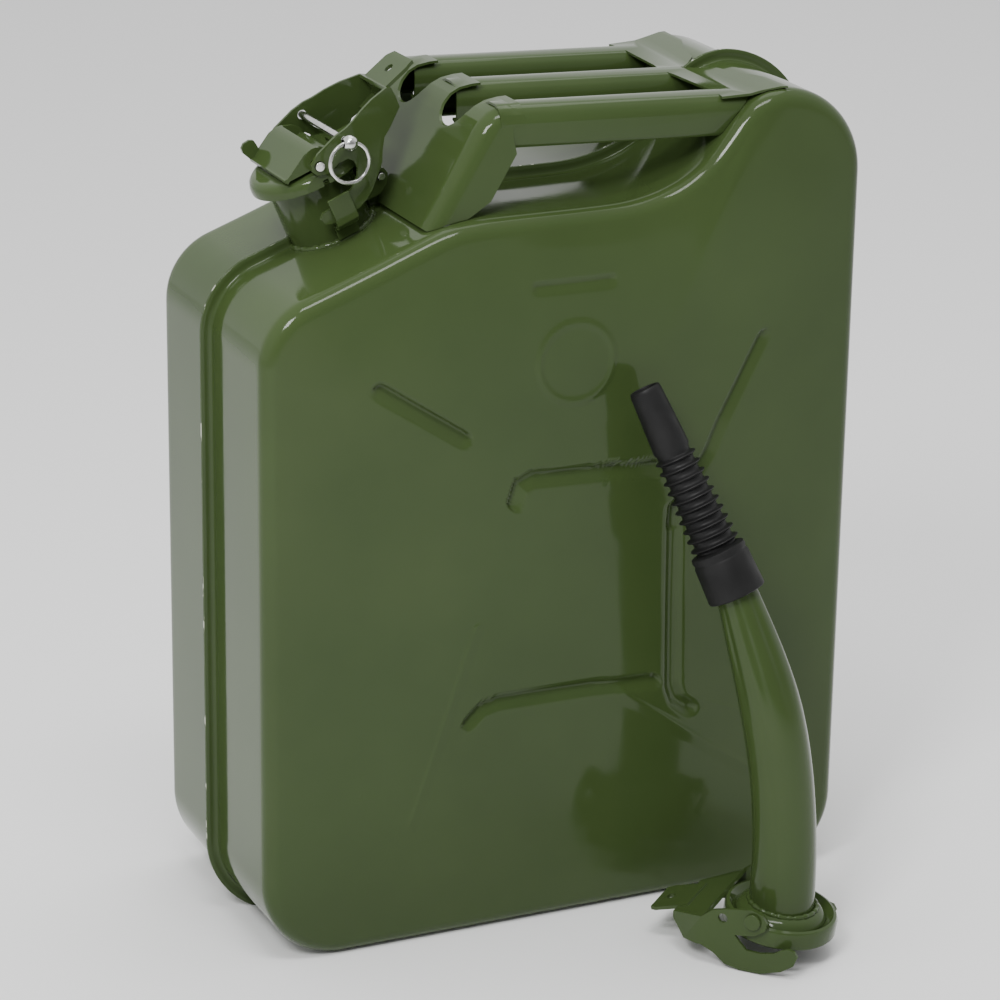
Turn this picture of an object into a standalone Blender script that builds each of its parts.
"""20 litre pressed-steel jerry can with a cam-lever cap and its loose pouring spout.

Metres, +Z up. X runs along the can's width with the neck at -X, and Y runs front (-Y) to rear.
The can stands on z = 0. Two tilted frames carry the closure and the spout: in each of them
local Y is the direction of the lever's pivot and local Z runs along the neck's or the collar's axis.
"""

import math

import bmesh
import bpy
from mathutils import Matrix, Vector

MM = 0.001
GAP = 0.3

# Can body, in millimetres
HALF_DEPTH = 76.0
SHEET = 0.9
EDGE_RADIUS = 9.0
CROWN = 5.5
BOTTOM_CORNER = 44.0
FLANGE = 6.0
SEAM_RECESS = 6.0
RECESS_HALF = 9.0
GROOVE_FLOOR = 77.6

# Closure frame and its pieces
NECK_BASE = (-109.0, 0.0, 392.3)
NECK_TILT = 22.6
NECK_RADIUS = 22.4
CAP_RADIUS = 30.3
CAP_RIM = 17.5
CAP_FLAT = 28.5
PIVOT = (-0.7, 29.1)
PIN_HOLE = (16.9, 34.9)
HINGE = (32.5, 0.5)
CHEEK_INNER = 28.9
CHEEK_OUTER = 30.7
RING_RADIUS = 10.5

# Handle
HANDLE_BEND = 9.5
BAR_START = -37.0
BAR_END = 106.0
BAR_FALL = 0.034

# Spout frame and its pieces
SPOUT_BASE = (89.0, -158.5, 8.2)
SPOUT_TURN = -47.8
SPOUT_TILT = 7.8
SPOUT_PIVOT = (-5.1, 21.4)
SPOUT_INNER = 30.9
SPOUT_OUTER = 32.7

CLOSURE = (
    Matrix.Translation(Vector(NECK_BASE) * MM)
    @ Matrix.Rotation(-math.radians(NECK_TILT), 4, "Y")
)
SPOUT = (
    Matrix.Translation(Vector(SPOUT_BASE) * MM)
    @ Matrix.Rotation(math.radians(SPOUT_TURN), 4, "Z")
    @ Matrix.Rotation(math.radians(SPOUT_TILT), 4, "Y")
)


def clear_scene():
    for obj in list(bpy.data.objects):
        bpy.data.objects.remove(obj)


def new_collection(name, hidden=False):
    made = bpy.data.collections.new(name)
    made.hide_render = hidden
    bpy.context.scene.collection.children.link(made)
    return made


def new_material(name, color, roughness, metallic):
    made = bpy.data.materials.new(name)
    made.use_nodes = True
    shader = made.node_tree.nodes["Principled BSDF"]
    shader.inputs["Base Color"].default_value = (*color, 1.0)
    shader.inputs["Roughness"].default_value = roughness
    shader.inputs["Metallic"].default_value = metallic
    return made


def finish_mesh(name, work, frame=Matrix.Identity(4), origin=(0, 0, 0)):
    """Object of a bmesh in millimetres; origin is its own origin, in the frame's millimetres."""
    bmesh.ops.remove_doubles(work, verts=work.verts, dist=1e-4)
    bmesh.ops.recalc_face_normals(work, faces=work.faces)
    shift = Vector(origin)
    for vert in work.verts:
        vert.co = (vert.co - shift) * MM
    mesh = bpy.data.meshes.new(name)
    work.to_mesh(mesh)
    work.free()
    obj = bpy.data.objects.new(name, mesh)
    obj.matrix_world = frame @ Matrix.Translation(shift * MM)
    return obj


def keep(obj, material, collection):
    """Makes the object a node of the part."""
    material = material.copy()
    material.name = obj.name
    obj.data.materials.append(material)
    collection.objects.link(obj)
    return obj


def use_tool(target, tool, operation="DIFFERENCE"):
    """Boolean of a helper object, kept hidden among the cutters."""
    if tool.name not in TOOLS.objects:
        TOOLS.objects.link(tool)
    tool.hide_render = True
    tool.display_type = "WIRE"
    step = target.modifiers.new(tool.name, "BOOLEAN")
    step.operation = operation
    step.solver = "EXACT"
    step.object = tool


def place(plane, u, v, w):
    """Point of a drawing plane: XZ runs along Y, YZ along X, XY along Z."""
    if plane == "XZ":
        return Vector((u, w, v))
    if plane == "YZ":
        return Vector((w, u, v))
    return Vector((u, v, w))


def slab(name, outline, low, high, plane="XZ", **where):
    """Outline drawn in a plane and extruded from low to high along its normal."""
    work = bmesh.new()
    corners = [work.verts.new(place(plane, u, v, low)) for u, v in outline]
    face = work.faces.new(corners)
    lifted = bmesh.ops.extrude_face_region(work, geom=[face])["geom"]
    moved = [item for item in lifted if isinstance(item, bmesh.types.BMVert)]
    bmesh.ops.translate(work, verts=moved, vec=place(plane, 0, 0, high - low))
    return finish_mesh(name, work, **where)


def rod(name, radius, low, high, at, segments=20, plane="XZ", **where):
    """Round bar along the normal of a drawing plane."""
    outline = [
        (
            at[0] + radius * math.cos(2 * math.pi * i / segments),
            at[1] + radius * math.sin(2 * math.pi * i / segments),
        )
        for i in range(segments)
    ]
    return slab(name, outline, low, high, plane, **where)


def turned(name, profile, steps=36, **where):
    """Closed profile of (radius, height) turned about the frame's Z axis."""
    work = bmesh.new()
    verts = [work.verts.new((r, 0, h)) for r, h in profile]
    edges = [
        work.edges.new((verts[i], verts[(i + 1) % len(verts)]))
        for i in range(len(verts))
    ]
    bmesh.ops.spin(
        work,
        geom=verts + edges,
        cent=(0, 0, 0),
        axis=(0, 0, 1),
        angle=2 * math.pi,
        steps=steps,
        use_duplicate=False,
    )
    return finish_mesh(name, work, **where)


def loft_rings(work, rings, closed=False):
    """Skins each ring of points to the next one, and the last to the first when closed."""
    loops = [[work.verts.new(point) for point in ring] for ring in rings]
    pairs = list(zip(loops, loops[1:]))
    if closed:
        pairs.append((loops[-1], loops[0]))
    for first, second in pairs:
        for i in range(len(first)):
            j = (i + 1) % len(first)
            work.faces.new((first[i], first[j], second[j], second[i]))
    return loops


def swept_tube(name, stations, walls, segments=24, **where):
    """Tube along (x, z, outer radius) stations, with a wall thickness at each one."""
    work = bmesh.new()
    outer, inner = [], []
    for i, (x, z, radius) in enumerate(stations):
        before = stations[max(i - 1, 0)]
        after = stations[min(i + 1, len(stations) - 1)]
        along = Vector((after[0] - before[0], 0, after[1] - before[1])).normalized()
        side = Vector((along.z, 0, -along.x))
        for rings, r in ((outer, radius), (inner, radius - walls[i])):
            rings.append(
                [
                    Vector((x, 0, z))
                    + r * math.cos(2 * math.pi * k / segments) * side
                    + r * math.sin(2 * math.pi * k / segments) * Vector((0, 1, 0))
                    for k in range(segments)
                ]
            )
    loft_rings(work, outer + inner[::-1], closed=True)
    return finish_mesh(name, work, **where)


def arc(center, radius, start, end, count):
    """Points on a circle, angles in degrees."""
    return [
        (
            center[0] + radius * math.cos(math.radians(start + (end - start) * i / count)),
            center[1] + radius * math.sin(math.radians(start + (end - start) * i / count)),
        )
        for i in range(count + 1)
    ]


def normals_of(outline):
    """Outward mitre at each corner of an outline listed clockwise."""
    found = []
    for i, point in enumerate(outline):
        before, after = outline[i - 1], outline[(i + 1) % len(outline)]
        first = Vector((point[0] - before[0], point[1] - before[1])).normalized()
        second = Vector((after[0] - point[0], after[1] - point[1])).normalized()
        normal_1, normal_2 = Vector((-first.y, first.x)), Vector((-second.y, second.x))
        mitre = (normal_1 + normal_2).normalized()
        found.append(mitre / max(mitre.dot(normal_1), 0.5))
    return found


def grown(outline, amount):
    return [
        (p[0] + n.x * amount, p[1] + n.y * amount)
        for p, n in zip(outline, normals_of(outline))
    ]


def strip(path, thickness):
    """Outline of a bent sheet whose one side follows the path and whose other lies to its right."""
    shifted = []
    for i, point in enumerate(path):
        before, after = path[max(i - 1, 0)], path[min(i + 1, len(path) - 1)]
        if i in (0, len(path) - 1):
            along = Vector((after[0] - before[0], after[1] - before[1])).normalized()
            side, stretch = Vector((along.y, -along.x)), 1.0
        else:
            first = Vector((point[0] - before[0], point[1] - before[1])).normalized()
            second = Vector((after[0] - point[0], after[1] - point[1])).normalized()
            side_1, side_2 = Vector((first.y, -first.x)), Vector((second.y, -second.x))
            side = (side_1 + side_2).normalized()
            stretch = 1 / max(side.dot(side_1), 0.5)
        offset = side * (thickness * stretch)
        shifted.append((point[0] + offset.x, point[1] + offset.y))
    return path + shifted[::-1]


def body_outline():
    """The can's side view, clockwise from the bottom left corner."""
    points = arc((-125.0, BOTTOM_CORNER), BOTTOM_CORNER, 270, 180, 7)
    points += arc((-132.0, 327.0), 37.0, 180, 112, 5)
    points += [(-112.0, 374.0), (-76.0, 388.5), (-66.0, 391.8), (-55.0, 393.6)]
    points += [(-42.0, 394.3), (20.0, 394.3), (38.0, 395.4), (55.0, 399.4)]
    points += [(70.0, 406.0), (80.0, 414.0), (88.0, 423.5), (96.0, 434.0)]
    points += [(104.0, 441.8), (113.0, 446.2), (122.0, 447.5)]
    points += arc((121.0, 399.5), 48.0, 80, 0, 7)
    points += arc((125.0, BOTTOM_CORNER), BOTTOM_CORNER, 0, -90, 7)
    return points


def body_ring(amount, depth, side):
    """Body outline grown by an amount at a depth, its bottom lifted near the seam."""
    lifted = max(0.0, min(1.0, (RECESS_HALF + 7 - depth) / 7)) * SEAM_RECESS
    return [
        Vector((x, side * depth, max(z, lifted - min(amount, FLANGE))))
        for x, z in grown(body_outline(), amount)
    ]


def scaled_ring(share, depth, side, amount):
    centre = Vector((0, 0, 205))
    points = body_ring(amount, HALF_DEPTH, side)
    return [
        Vector((centre.x + (p.x - centre.x) * share, side * depth, centre.z + (p.z - centre.z) * share))
        for p in points
    ]


def body_solid(name, side, inset, with_flange):
    """Closed solid of one half: the outside of the sheet, or with an inset its inside."""
    work = bmesh.new()
    rings = []
    if with_flange:
        rings += [body_ring(FLANGE, 0.15, side), body_ring(FLANGE, 1.05, side)]
        rings += [body_ring(1.6, 1.05, side), body_ring(0.4, 1.6, side)]
        rings += [body_ring(0, 2.8, side)]
    else:
        rings += [body_ring(-inset, -1.0, side), body_ring(-inset, 2.0, side)]
    rings += [body_ring(-inset, RECESS_HALF, side), body_ring(-inset, RECESS_HALF + 7, side)]
    radius = EDGE_RADIUS - inset
    face = HALF_DEPTH - inset
    for degrees in (0, 22.5, 45, 67.5, 90):
        turn = math.radians(degrees)
        rings.append(
            body_ring(
                -inset - radius * (1 - math.cos(turn)),
                face - radius * (1 - math.sin(turn)),
                side,
            )
        )
    for share, rise in ((0.88, 0.45), (0.7, 0.8), (0.42, 1.0)):
        rings.append(scaled_ring(share, face + CROWN * rise, side, -inset - radius))
    loops = loft_rings(work, rings)
    work.faces.new(loops[0])
    work.faces.new(loops[-1])
    return finish_mesh(name, work)


def capsule(start, end, width):
    """Outline of a groove with round ends."""
    along = Vector((end[0] - start[0], end[1] - start[1]))
    turn = math.degrees(math.atan2(along.y, along.x))
    return arc(end, width / 2, turn + 90, turn - 90, 5) + arc(
        start, width / 2, turn + 270, turn + 90, 5
    )


GROOVES = (
    ((-109, 313), (-57, 276)),
    ((112, 314), (82, 252)),
    ((-106, 46), (-50, 136)),
    ((120, 60), (64, 110)),
    ((-20, 356.5), (21, 357)),
)
FRAME_GROOVE = (
    ((-28, 252), (50, 253)),
    ((66, 236), (66, 150)),
    ((50, 132), (-34, 133)),
    ((-52, 150), (-50, 236)),
)


def groove_tools(side, extra, label):
    """Cutters of the panel's pressed lines, each a rounded bar down to the groove's floor."""
    made = []
    width = 7.0 + 2 * extra
    for number, (start, end) in enumerate(GROOVES + FRAME_GROOVE):
        floor = side * (GROOVE_FLOOR - extra)
        made.append(
            slab(f"cut_{label}_{number}", capsule(start, end, width), side * 92, floor)
        )
    return made


def build_half(name, side, paint, nodes):
    outer = body_solid(name, side, 0.0, True)
    inner = body_solid(f"cut_{name}_inside", side, SHEET, False)
    for tool in groove_tools(side, 0.0, name + "_out"):
        use_tool(outer, tool)
    for tool in groove_tools(side, SHEET, name + "_in"):
        use_tool(inner, tool)
    use_tool(outer, inner)
    neck_room = turned(
        f"cut_{name}_neck",
        [(0, -40), (NECK_RADIUS + GAP, -40), (NECK_RADIUS + GAP, 6), (0, 6)],
        frame=CLOSURE,
    )
    use_tool(outer, neck_room)
    return keep(outer, paint, nodes)


def bar_section(centre):
    """Rolled carrying bar in the YZ plane, open underneath."""
    path = [(centre - 5.5, 430.2), (centre - 9.5, 428.4), (centre - 11.0, 430.5)]
    path += [(centre - 11.8, 441.0), (centre - 10.6, 445.5), (centre - 7.6, 448.6)]
    path += [(centre - 3.5, 450.0), (centre + 3.5, 450.0), (centre + 7.6, 448.6)]
    path += [(centre + 10.6, 445.5), (centre + 11.8, 441.0), (centre + 11.0, 430.5)]
    path += [(centre + 9.5, 428.4), (centre + 5.5, 430.2)]
    return strip(path, 1.2)


def bent_plate(name, path, half_width, radius, thickness):
    """Sheet that follows a path in the XZ plane, with both of its edges turned down round a radius."""
    work = bmesh.new()
    rings = []
    for i, point in enumerate(path):
        before, after = path[max(i - 1, 0)], path[min(i + 1, len(path) - 1)]
        along = Vector((after[0] - before[0], after[1] - before[1])).normalized()
        inward = Vector((along.y, -along.x))
        ring = []
        for depth, order in ((0.0, 1), (thickness, -1)):
            bend = arc((half_width - radius, radius), radius - depth, 0, -90, 6)
            half = [(half_width - depth, radius + 1.0)] + bend
            across = [(-y, d) for y, d in half] + half[::-1]
            for y, d in across[::order]:
                ring.append((point[0] + inward.x * d, y, point[1] + inward.y * d))
        rings.append(ring)
    loops = loft_rings(work, rings)
    work.faces.new(loops[0])
    work.faces.new(loops[-1][::-1])
    return finish_mesh(name, work)


def build_handle(paint, nodes):
    """Pressed handle: sloping plate with turned edges and flanges, three bars and the tails on the hump."""
    plate_path = [(-78.0, 390.0), (-49.5, 437.3), (-46.0, 441.8), (-41.5, 445.9), (-36.0, 448.6)]
    plate_path += [(-29.0, 449.8), (-24.0, 450.0)]
    handle = bent_plate("handle", plate_path, 66.8, HANDLE_BEND, 1.3)
    flange = [(-69.0, 388.0), (-53.4, 394.7), (-42.2, 401.8), (-28.1, 425.4), (-29.9, 433.3)]
    flange += [(-30.5, 441.0), (-36.6, 438.9), (-42.2, 432.2)]
    for side, label in ((-1, "near"), (1, "far")):
        tool = slab(f"add_{label}_flange", flange, side * 65.55, side * 66.75)
        use_tool(handle, tool, "UNION")
    for centre, label in ((-55, "front"), (0, "middle"), (55, "rear")):
        bar = slab(f"add_{label}_bar", bar_section(centre), BAR_START, BAR_END, "YZ")
        for vert in bar.data.vertices:
            vert.co.z -= max(0.0, vert.co.x - BAR_START * MM) * BAR_FALL
        use_tool(handle, bar, "UNION")
    tail_path = [(80.0, 445.0), (96.0, 445.2), (104.0, 445.7), (112.0, 447.3), (120.0, 448.6)]
    tail_path.append((134.0, 448.8))
    tails = slab("add_tails", strip(tail_path, 1.3), -72.0, 72.0)
    top = [(86, 0), (88, 12), (90, 56), (88, 66.5), (110, 68), (124, 71), (123, 48), (116, 32), (112, 14)]
    top += [(106, 7), (101, 0), (106, -7), (112, -14), (116, -32), (123, -48), (124, -71), (110, -68)]
    top += [(88, -66.5), (90, -56), (88, -12)]
    use_tool(tails, slab("keep_tails", top, 430.0, 460.0, "XY"), "INTERSECT")
    use_tool(handle, tails, "UNION")
    for centre, label in ((-27.5, "near"), (27.5, "far")):
        outline = arc((centre, 449.0), 15.5, 180, 360, 16) + [(centre + 15.5, 460), (centre - 15.5, 460)]
        use_tool(handle, slab(f"cut_{label}_scallop", outline, -90.0, -20.0, "YZ"))
    room = slab("cut_handle_body", grown(body_outline(), GAP), -90.0, 90.0)
    use_tool(handle, room)
    seam = slab("cut_handle_seam", grown(body_outline(), FLANGE + GAP), -1.6, 1.6)
    use_tool(handle, seam)
    return keep(handle, paint, nodes)


def build_neck(paint, steel, nodes):
    profile = [(22.4, -25), (22.4, 14.5), (23.4, 16.6), (26.0, 17.8), (26.6, 18.8), (26.0, 19.8)]
    profile += [(23.0, 19.8), (21.3, 18.2), (21.3, -25)]
    keep(turned("neck", profile, frame=CLOSURE), paint, nodes)
    tube = [(-16.8, -62, 4.0), (-16.8, 13, 4.0)]
    keep(swept_tube("breather_tube", tube, [1.0, 1.0], 16, frame=CLOSURE), steel, nodes)


def build_keepers(paint, nodes):
    """Lugs on the neck, open at the top, that hold the lever's hooks."""
    for side, name in ((-1, "keeper_front"), (1, "keeper_rear")):
        path = [(33.0, 11.0), (33.0, -4.0), (30.8, -7.0), (25.2, -8.2), (25.0, -14.5)]
        section = strip([(y * side, t) for y, t in path], 2.0 * side)
        work = slab(name, section, -4.4, 8.0, "YZ", frame=CLOSURE)
        room = turned(
            f"cut_{name}",
            [(0, -40), (NECK_RADIUS + GAP, -40), (NECK_RADIUS + GAP, 14), (0, 14)],
            frame=CLOSURE,
        )
        use_tool(work, room)
        keep(work, paint, nodes)


def build_cap_hinge(paint, steel, nodes):
    """Strap on the neck with two ears, and the pin through them."""
    base = slab("hinge_strap", [(20, -8.0), (29, -8.0), (29, -6.0), (20, -6.0)], -11, 11, frame=CLOSURE)
    ear = [(20, -8), (29, -8), (34.5, -4.2), (36.7, 0.2), (35.5, 4), (31.5, 5.2), (26, 3.5), (20, -1)]
    for side, label in ((-1, "near"), (1, "far")):
        use_tool(base, slab(f"add_{label}_ear", ear, side * 9, side * 11, frame=CLOSURE), "UNION")
    room = turned("cut_strap_neck", [(0, -40), (22.7, -40), (22.7, 10), (0, 10)], frame=CLOSURE)
    use_tool(base, room)
    use_tool(base, rod("cut_strap_pin", 2.3, -14, 14, HINGE, frame=CLOSURE))
    keep(base, paint, nodes)
    pin = rod("hinge_pin", 2.0, -12.5, 12.5, HINGE, frame=CLOSURE, origin=(HINGE[0], 0, HINGE[1]))
    keep(pin, steel, nodes)


def build_cap(paint, rubber, nodes):
    origin = (HINGE[0], 0, HINGE[1])
    profile = [(29.2, CAP_RIM), (CAP_RADIUS, 17.9), (CAP_RADIUS, 20.6), (29.4, 23.2)]
    profile += [(27.6, 24.8), (25.2, 25.4), (0, 25.4), (0, 24.1), (25.0, 24.1)]
    profile += [(27.4, 22.9), (28.6, 20.4), (28.6, CAP_RIM)]
    cap = turned("cap", profile, 48, frame=CLOSURE, origin=origin)
    arm = [(18.0, 26.6), (37.0, 26.6), (41.0, 24.0), (43.0, 19.5), (37.5, 8.0), (34.5, 2.5)]
    use_tool(cap, slab("add_cap_arm", strip(arm, 2.2), -8.4, 8.4, frame=CLOSURE), "UNION")
    use_tool(cap, rod("add_cap_knuckle", 4.2, -8.4, 8.4, HINGE, frame=CLOSURE), "UNION")
    use_tool(cap, rod("cut_cap_knuckle", 2.3, -14, 14, HINGE, frame=CLOSURE))
    square = [(-40, 10), (24, 10), (24, 25.2), (-40, 25.2)]
    for side, label in ((-1, "near"), (1, "far")):
        use_tool(cap, slab(f"cut_cap_{label}_flat", square, side * CAP_FLAT, side * 34, frame=CLOSURE))
    keep(cap, paint, nodes)
    ring = [(19.5, 20.3), (28.0, 20.3), (26.8, 22.6), (24.6, 23.7), (19.5, 23.7)]
    keep(turned("cap_gasket", ring, frame=CLOSURE, origin=origin), rubber, nodes)


def build_bracket(paint, steel, nodes):
    """Bent plate on the cap: two ears for the pivot, a sloping front and a thumb ear."""
    origin = (HINGE[0], 0, HINGE[1])
    low = 27.1
    foot = [(-19, low), (12, low), (12, low + 1.8), (-19, low + 1.8)]
    base = slab("cap_bracket", foot, -25, 25, frame=CLOSURE, origin=origin)
    ear = [(-19, low), (12, low), (12.3, 31), (8, 35), (2, 37), (-3.5, 36.4)]
    for side, label in ((-1, "near"), (1, "far")):
        use_tool(base, slab(f"add_bracket_{label}", ear, side * 23, side * 25, frame=CLOSURE), "UNION")
    slope = strip([(-19.0, low + 0.6), (-4.5, 36.2), (0.0, 37.2), (3.0, 36.9)], 1.8)
    use_tool(base, slab("add_bracket_slope", slope, -25, 25, frame=CLOSURE), "UNION")
    thumb = [(-12.5, low + 0.4), (-15.0, low - 1.2), (-18.5, low + 0.4), (-21.6, 33.6), (-21.4, 36.2)]
    thumb += [(-19.4, 38.0), (-16.0, 38.3), (-13.8, 37.2), (-13.2, 34.6)]
    use_tool(base, slab("add_thumb_ear", thumb, 22.9, 24.9, frame=CLOSURE), "UNION")
    use_tool(base, rod("cut_bracket_pivot", 2.8, -34, 34, PIVOT, frame=CLOSURE))
    arm_room = [(14, 20), (50, 20), (50, 40), (14, 40)]
    use_tool(base, slab("cut_bracket_arm", arm_room, -40, 40, frame=CLOSURE))
    keep(base, paint, nodes)
    pivot = rod("lever_pivot", 2.5, -32.2, 32.2, PIVOT, frame=CLOSURE, origin=(PIVOT[0], 0, PIVOT[1]))
    keep(pivot, steel, nodes)


def taper(obj, start, rate, origin_x):
    """Draws the two sides of a lever together beyond a distance from the axis."""
    work = bmesh.new()
    work.from_mesh(obj.data)
    for bound in (-start, start):
        bmesh.ops.bisect_plane(
            work,
            geom=work.verts[:] + work.edges[:] + work.faces[:],
            plane_co=((bound - origin_x) * MM, 0, 0),
            plane_no=(1, 0, 0),
        )
    for vert in work.verts:
        beyond = max(0.0, abs(vert.co.x / MM + origin_x) - start)
        vert.co.y -= math.copysign(min(beyond * rate * MM, abs(vert.co.y)), vert.co.y)
    work.to_mesh(obj.data)
    work.free()


CHEEK = (
    (-3.6, 25.2), (-5.4, 28.4), (-4.6, 31.6), (0.5, 35.2), (6.5, 37.4), (12.7, 39.4), (18.0, 40.4),
    (25.0, 41.4), (32.0, 43.2), (40.0, 44.4), (50.5, 44.6), (53.6, 43.0), (54.2, 38.0), (54.2, 31.6),
    (50.6, 29.6), (44.0, 25.6), (38.8, 23.4), (35.0, 18.5), (32.0, 13.2), (27.6, 9.6), (22.0, 5.6),
    (16.0, 1.4), (10.7, -0.9), (4.0, -1.6), (-4.0, -2.2), (-9.4, -0.6), (-10.8, 3.0), (-8.6, 5.6),
    (-3.0, 6.0), (3.6, 7.4), (10.5, 10.2), (15.5, 14.4), (17.4, 18.6), (17.0, 23.0), (14.6, 25.6),
    (9.0, 25.8), (3.0, 23.2),
)


def build_lever(paint, nodes):
    """Cam lever of the cap: two hooked cheeks, the web that joins them and the thumb tab."""
    origin = (PIVOT[0], 0, PIVOT[1])
    where = {"frame": CLOSURE, "origin": origin}
    near = slab("cap_lever", CHEEK, -CHEEK_OUTER, -CHEEK_INNER, **where)
    far = slab("add_lever_far", CHEEK, CHEEK_INNER, CHEEK_OUTER, **where)
    web_path = [(50.4, 44.7), (53.4, 43.2), (54.1, 38.0), (54.0, 31.8), (50.6, 29.8), (45.0, 26.4)]
    web = slab("add_lever_web", strip(web_path, 1.8), -CHEEK_OUTER, CHEEK_OUTER, **where)
    for piece in (near, far, web):
        taper(piece, 20.0, 0.42, PIVOT[0])
    use_tool(near, web, "UNION")
    use_tool(near, far, "UNION")
    tab_path = [(50.6, 43.6), (67.5, 48.6), (71.0, 49.0)]
    tab = slab("add_lever_tab", strip(tab_path, 1.9), -14.0, 14.0, **where)
    taper(tab, 66.0, 0.5, PIVOT[0])
    use_tool(near, tab, "UNION")
    use_tool(near, rod("cut_lever_pivot", 2.8, -40, 40, PIVOT, **where))
    use_tool(near, rod("cut_lever_lock", 2.5, -40, 40, PIN_HOLE, **where))
    use_tool(near, rod("cut_lever_tab_hole", 2.5, 40, 60, (61.2, 0), plane="XY", **where))
    return keep(near, paint, nodes)


def build_locking_pin(steel, nodes):
    """Pin through the lever with a drilled ball head, and the ring that hangs from it."""
    origin = (PIN_HOLE[0], 0, PIN_HOLE[1])
    where = {"frame": CLOSURE, "origin": origin}
    pin = rod("locking_pin", 2.0, -34.0, 33.5, PIN_HOLE, 18, **where)
    work = bmesh.new()
    bmesh.ops.create_uvsphere(work, u_segments=18, v_segments=12, radius=4.2)
    bmesh.ops.translate(work, verts=work.verts, vec=(PIN_HOLE[0], -36.5, PIN_HOLE[1]))
    use_tool(pin, finish_mesh("add_pin_ball", work, **where), "UNION")
    ball = CLOSURE @ (Vector((PIN_HOLE[0], -36.5, PIN_HOLE[1])) * MM)
    world = Vector(ball) / MM
    use_tool(pin, rod("cut_pin_eye", 2.3, world.x - 8, world.x + 8, (world.y, world.z), 16, plane="YZ"))
    keep(pin, steel, nodes)
    work = bmesh.new()
    turn_steps = 40
    circle = [
        work.verts.new((RING_RADIUS + 1.1 * math.cos(a * math.pi / 4), 0, 1.1 * math.sin(a * math.pi / 4)))
        for a in range(8)
    ]
    edges = [work.edges.new((circle[i], circle[(i + 1) % 8])) for i in range(8)]
    bmesh.ops.spin(
        work, geom=circle + edges, cent=(0, 0, 0), axis=(0, 0, 1),
        angle=2 * math.pi, steps=turn_steps, use_duplicate=False,
    )
    upright = Matrix.Rotation(math.pi / 2, 4, "X")
    hung = Vector((world.x, world.y, world.z - RING_RADIUS + 0.35))
    bmesh.ops.transform(work, matrix=Matrix.Translation(hung) @ upright, verts=work.verts)
    keep(finish_mesh("pin_ring", work, origin=world), steel, nodes)


def build_spout_collar(paint, rubber, nodes):
    """Dished collar with the two ears that carry the lever, and the gasket inside it."""
    profile = [(17.9, 14.6), (23.5, 14.6), (26.2, 17.0), (28.0, 18.4), (29.6, 17.8), (30.5, 15.8)]
    profile += [(30.5, 8.8), (29.8, 8.0), (28.3, 8.0), (28.3, 13.0), (17.9, 13.0)]
    collar = turned("spout_collar", profile, 48, frame=SPOUT)
    ear = [(-14.0, 14.0), (-12.0, 20.0), (-8.5, 25.2), (-2.5, 25.6), (1.5, 21.5), (4.5, 14.0)]
    for side, label in ((-1, "near"), (1, "far")):
        lug = slab(f"add_collar_{label}", ear, side * 27.2, side * 29.6, frame=SPOUT)
        use_tool(collar, lug, "UNION")
    use_tool(collar, rod("cut_collar_pivot", 2.8, -40, 40, SPOUT_PIVOT, frame=SPOUT))
    keep(collar, paint, nodes)
    ring = [(18.2, 9.7), (27.9, 9.7), (27.9, 12.7), (18.2, 12.7)]
    keep(turned("spout_gasket", ring, frame=SPOUT), rubber, nodes)


def build_spout_rivets(paint, nodes):
    """One headed rivet on each side, through the cheek and the ear behind it."""
    where = {"frame": SPOUT, "origin": (SPOUT_PIVOT[0], 0, SPOUT_PIVOT[1])}
    head = SPOUT_OUTER + GAP
    for side, label in ((-1, "near"), (1, "far")):
        rivet = rod(f"spout_rivet_{label}", 2.5, side * 26.4, side * (head + 0.2), SPOUT_PIVOT, **where)
        button = rod(f"add_rivet_{label}", 4.4, side * head, side * (head + 1.6), SPOUT_PIVOT, **where)
        use_tool(rivet, button, "UNION")
        keep(rivet, paint, nodes)


PIPE = (
    (0.0, 10.0, 17.5), (-0.4, 19.0, 17.5), (-1.4, 28.0, 17.4), (-4.3, 50.5, 17.0),
    (-9.2, 75.1, 16.8), (-14.2, 94.5, 16.7), (-20.4, 113.5, 16.6), (-27.8, 132.1, 16.1),
    (-36.4, 150.1, 14.9), (-45.6, 167.6, 13.2), (-53.6, 182.2, 11.5), (-61.0, 193.3, 11.0),
    (-66.5, 201.0, 11.0),
)


def build_spout_pipe(paint, rubber, nodes):
    walls = [1.2] * len(PIPE)
    keep(swept_tube("spout_pipe", PIPE, walls, 28, frame=SPOUT), paint, nodes)
    start, turn, end = Vector((-54.7, 184.4)), Vector((-69.7, 205.5)), Vector((-123.2, 280.4))
    stations = [(start, 15.6, 12.2), (start.lerp(turn, 0.92), 14.9, 11.6), (turn, 14.0, 9.0)]
    ribs = 10
    bellows_end = turn.lerp(end, 0.60)
    for i in range(2 * ribs + 1):
        share = i / (2 * ribs)
        crest = 13.4 - 2.4 * share if i % 2 else 10.6 - 1.9 * share
        stations.append((turn.lerp(bellows_end, 0.02 + 0.98 * share), crest, 8.4 - 1.6 * share))
    stations += [(turn.lerp(end, 0.63), 9.9, 6.6), (turn.lerp(end, 0.98), 8.4, 6.2), (end, 7.9, 6.4)]
    tube = [(p.x, p.y, outer) for p, outer, _ in stations]
    walls = [outer - inner for _, outer, inner in stations]
    keep(swept_tube("spout_nozzle", tube, walls, 24, frame=SPOUT), rubber, nodes)


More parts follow.
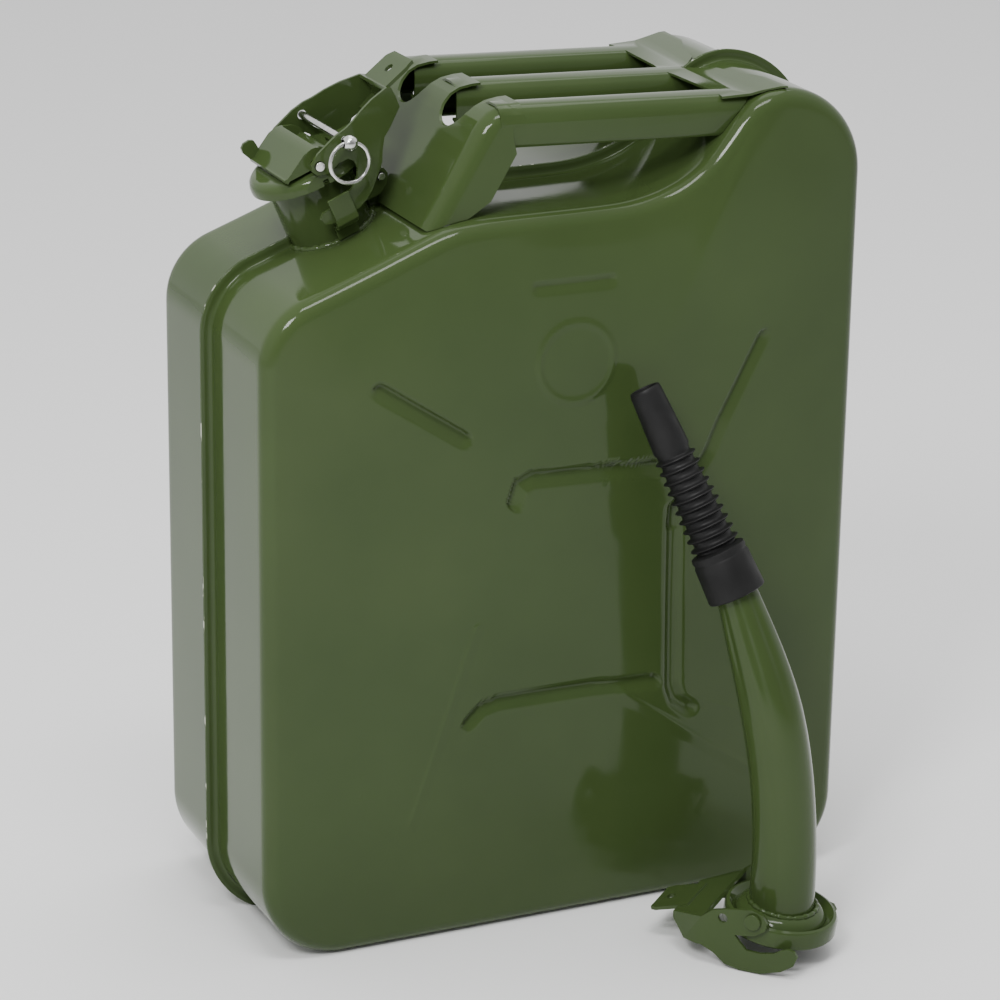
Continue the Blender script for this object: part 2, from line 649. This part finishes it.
SPOUT_CHEEK = (
    (-13.8, 10.4), (-9.0, 11.5), (-3.0, 13.5), (2.2, 18.0), (2.6, 22.5), (-0.8, 26.3), (-6.7, 27.6),
    (-20.2, 23.7), (-27.7, 20.7), (-33.8, 14.4), (-43.5, 10.5), (-52.0, 6.4), (-51.5, 2.5),
    (-42.5, -4.0), (-31.1, -1.2), (-23.4, -3.6), (-16.3, -7.9), (-7.9, -8.5), (3.6, -7.0),
    (14.5, -2.0), (20.6, 3.5), (22.0, 9.0), (19.9, 11.7), (15.9, 12.1), (12.4, 9.9), (8.9, 7.0),
    (1.5, 4.5), (-6.0, 3.8), (-10.1, 7.0),
)


def build_spout_lever(paint, nodes):
    """The spout's cam lever: two hooked cheeks, the plate that joins them and the thumb tab."""
    where = {"frame": SPOUT, "origin": (SPOUT_PIVOT[0], 0, SPOUT_PIVOT[1])}
    lever = slab("spout_lever", SPOUT_CHEEK, -SPOUT_OUTER, -SPOUT_INNER, **where)
    far = slab("add_spout_far", SPOUT_CHEEK, SPOUT_INNER, SPOUT_OUTER, **where)
    web_path = [(-32.4, 15.6), (-34.0, 13.9), (-43.5, 10.3), (-52.4, 6.2), (-51.8, 2.8)]
    web = slab("add_spout_web", strip(web_path, -1.8), -SPOUT_OUTER, SPOUT_OUTER, **where)
    for piece in (lever, far, web):
        taper(piece, 33.0, 0.6, SPOUT_PIVOT[0])
    use_tool(lever, web, "UNION")
    use_tool(lever, far, "UNION")
    tab_path = [(-47.0, 9.3), (-54.0, 5.9), (-64.5, 1.4), (-67.6, 0.1)]
    tab = slab("add_spout_tab", strip(tab_path, -1.8), -15.0, 15.0, **where)
    taper(tab, 64.0, 0.6, SPOUT_PIVOT[0])
    use_tool(lever, tab, "UNION")
    use_tool(lever, rod("cut_spout_pivot", 2.8, -40, 40, SPOUT_PIVOT, **where))
    use_tool(lever, rod("cut_spout_lock", 2.6, -40, 40, (-21.6, 17.8), **where))
    use_tool(lever, rod("cut_spout_tab_hole", 2.5, -20, 30, (-61.0, 0), plane="XY", **where))
    return keep(lever, paint, nodes)


clear_scene()
NODES = new_collection("jerry_can")
TOOLS = new_collection("cutters", hidden=True)
PAINT = new_material("olive_enamel", (0.085, 0.115, 0.045), 0.18, 0.0)
STEEL = new_material("bright_steel", (0.75, 0.75, 0.74), 0.2, 1.0)
RUBBER = new_material("black_rubber", (0.03, 0.03, 0.032), 0.6, 0.0)

build_half("body_front_half", -1, PAINT, NODES)
build_half("body_rear_half", 1, PAINT, NODES)
build_handle(PAINT, NODES)
build_neck(PAINT, STEEL, NODES)
build_keepers(PAINT, NODES)
build_cap_hinge(PAINT, STEEL, NODES)
build_cap(PAINT, RUBBER, NODES)
build_bracket(PAINT, STEEL, NODES)
build_lever(PAINT, NODES)
build_locking_pin(STEEL, NODES)
build_spout_collar(PAINT, RUBBER, NODES)
build_spout_rivets(PAINT, NODES)
build_spout_pipe(PAINT, RUBBER, NODES)
build_spout_lever(PAINT, NODES)
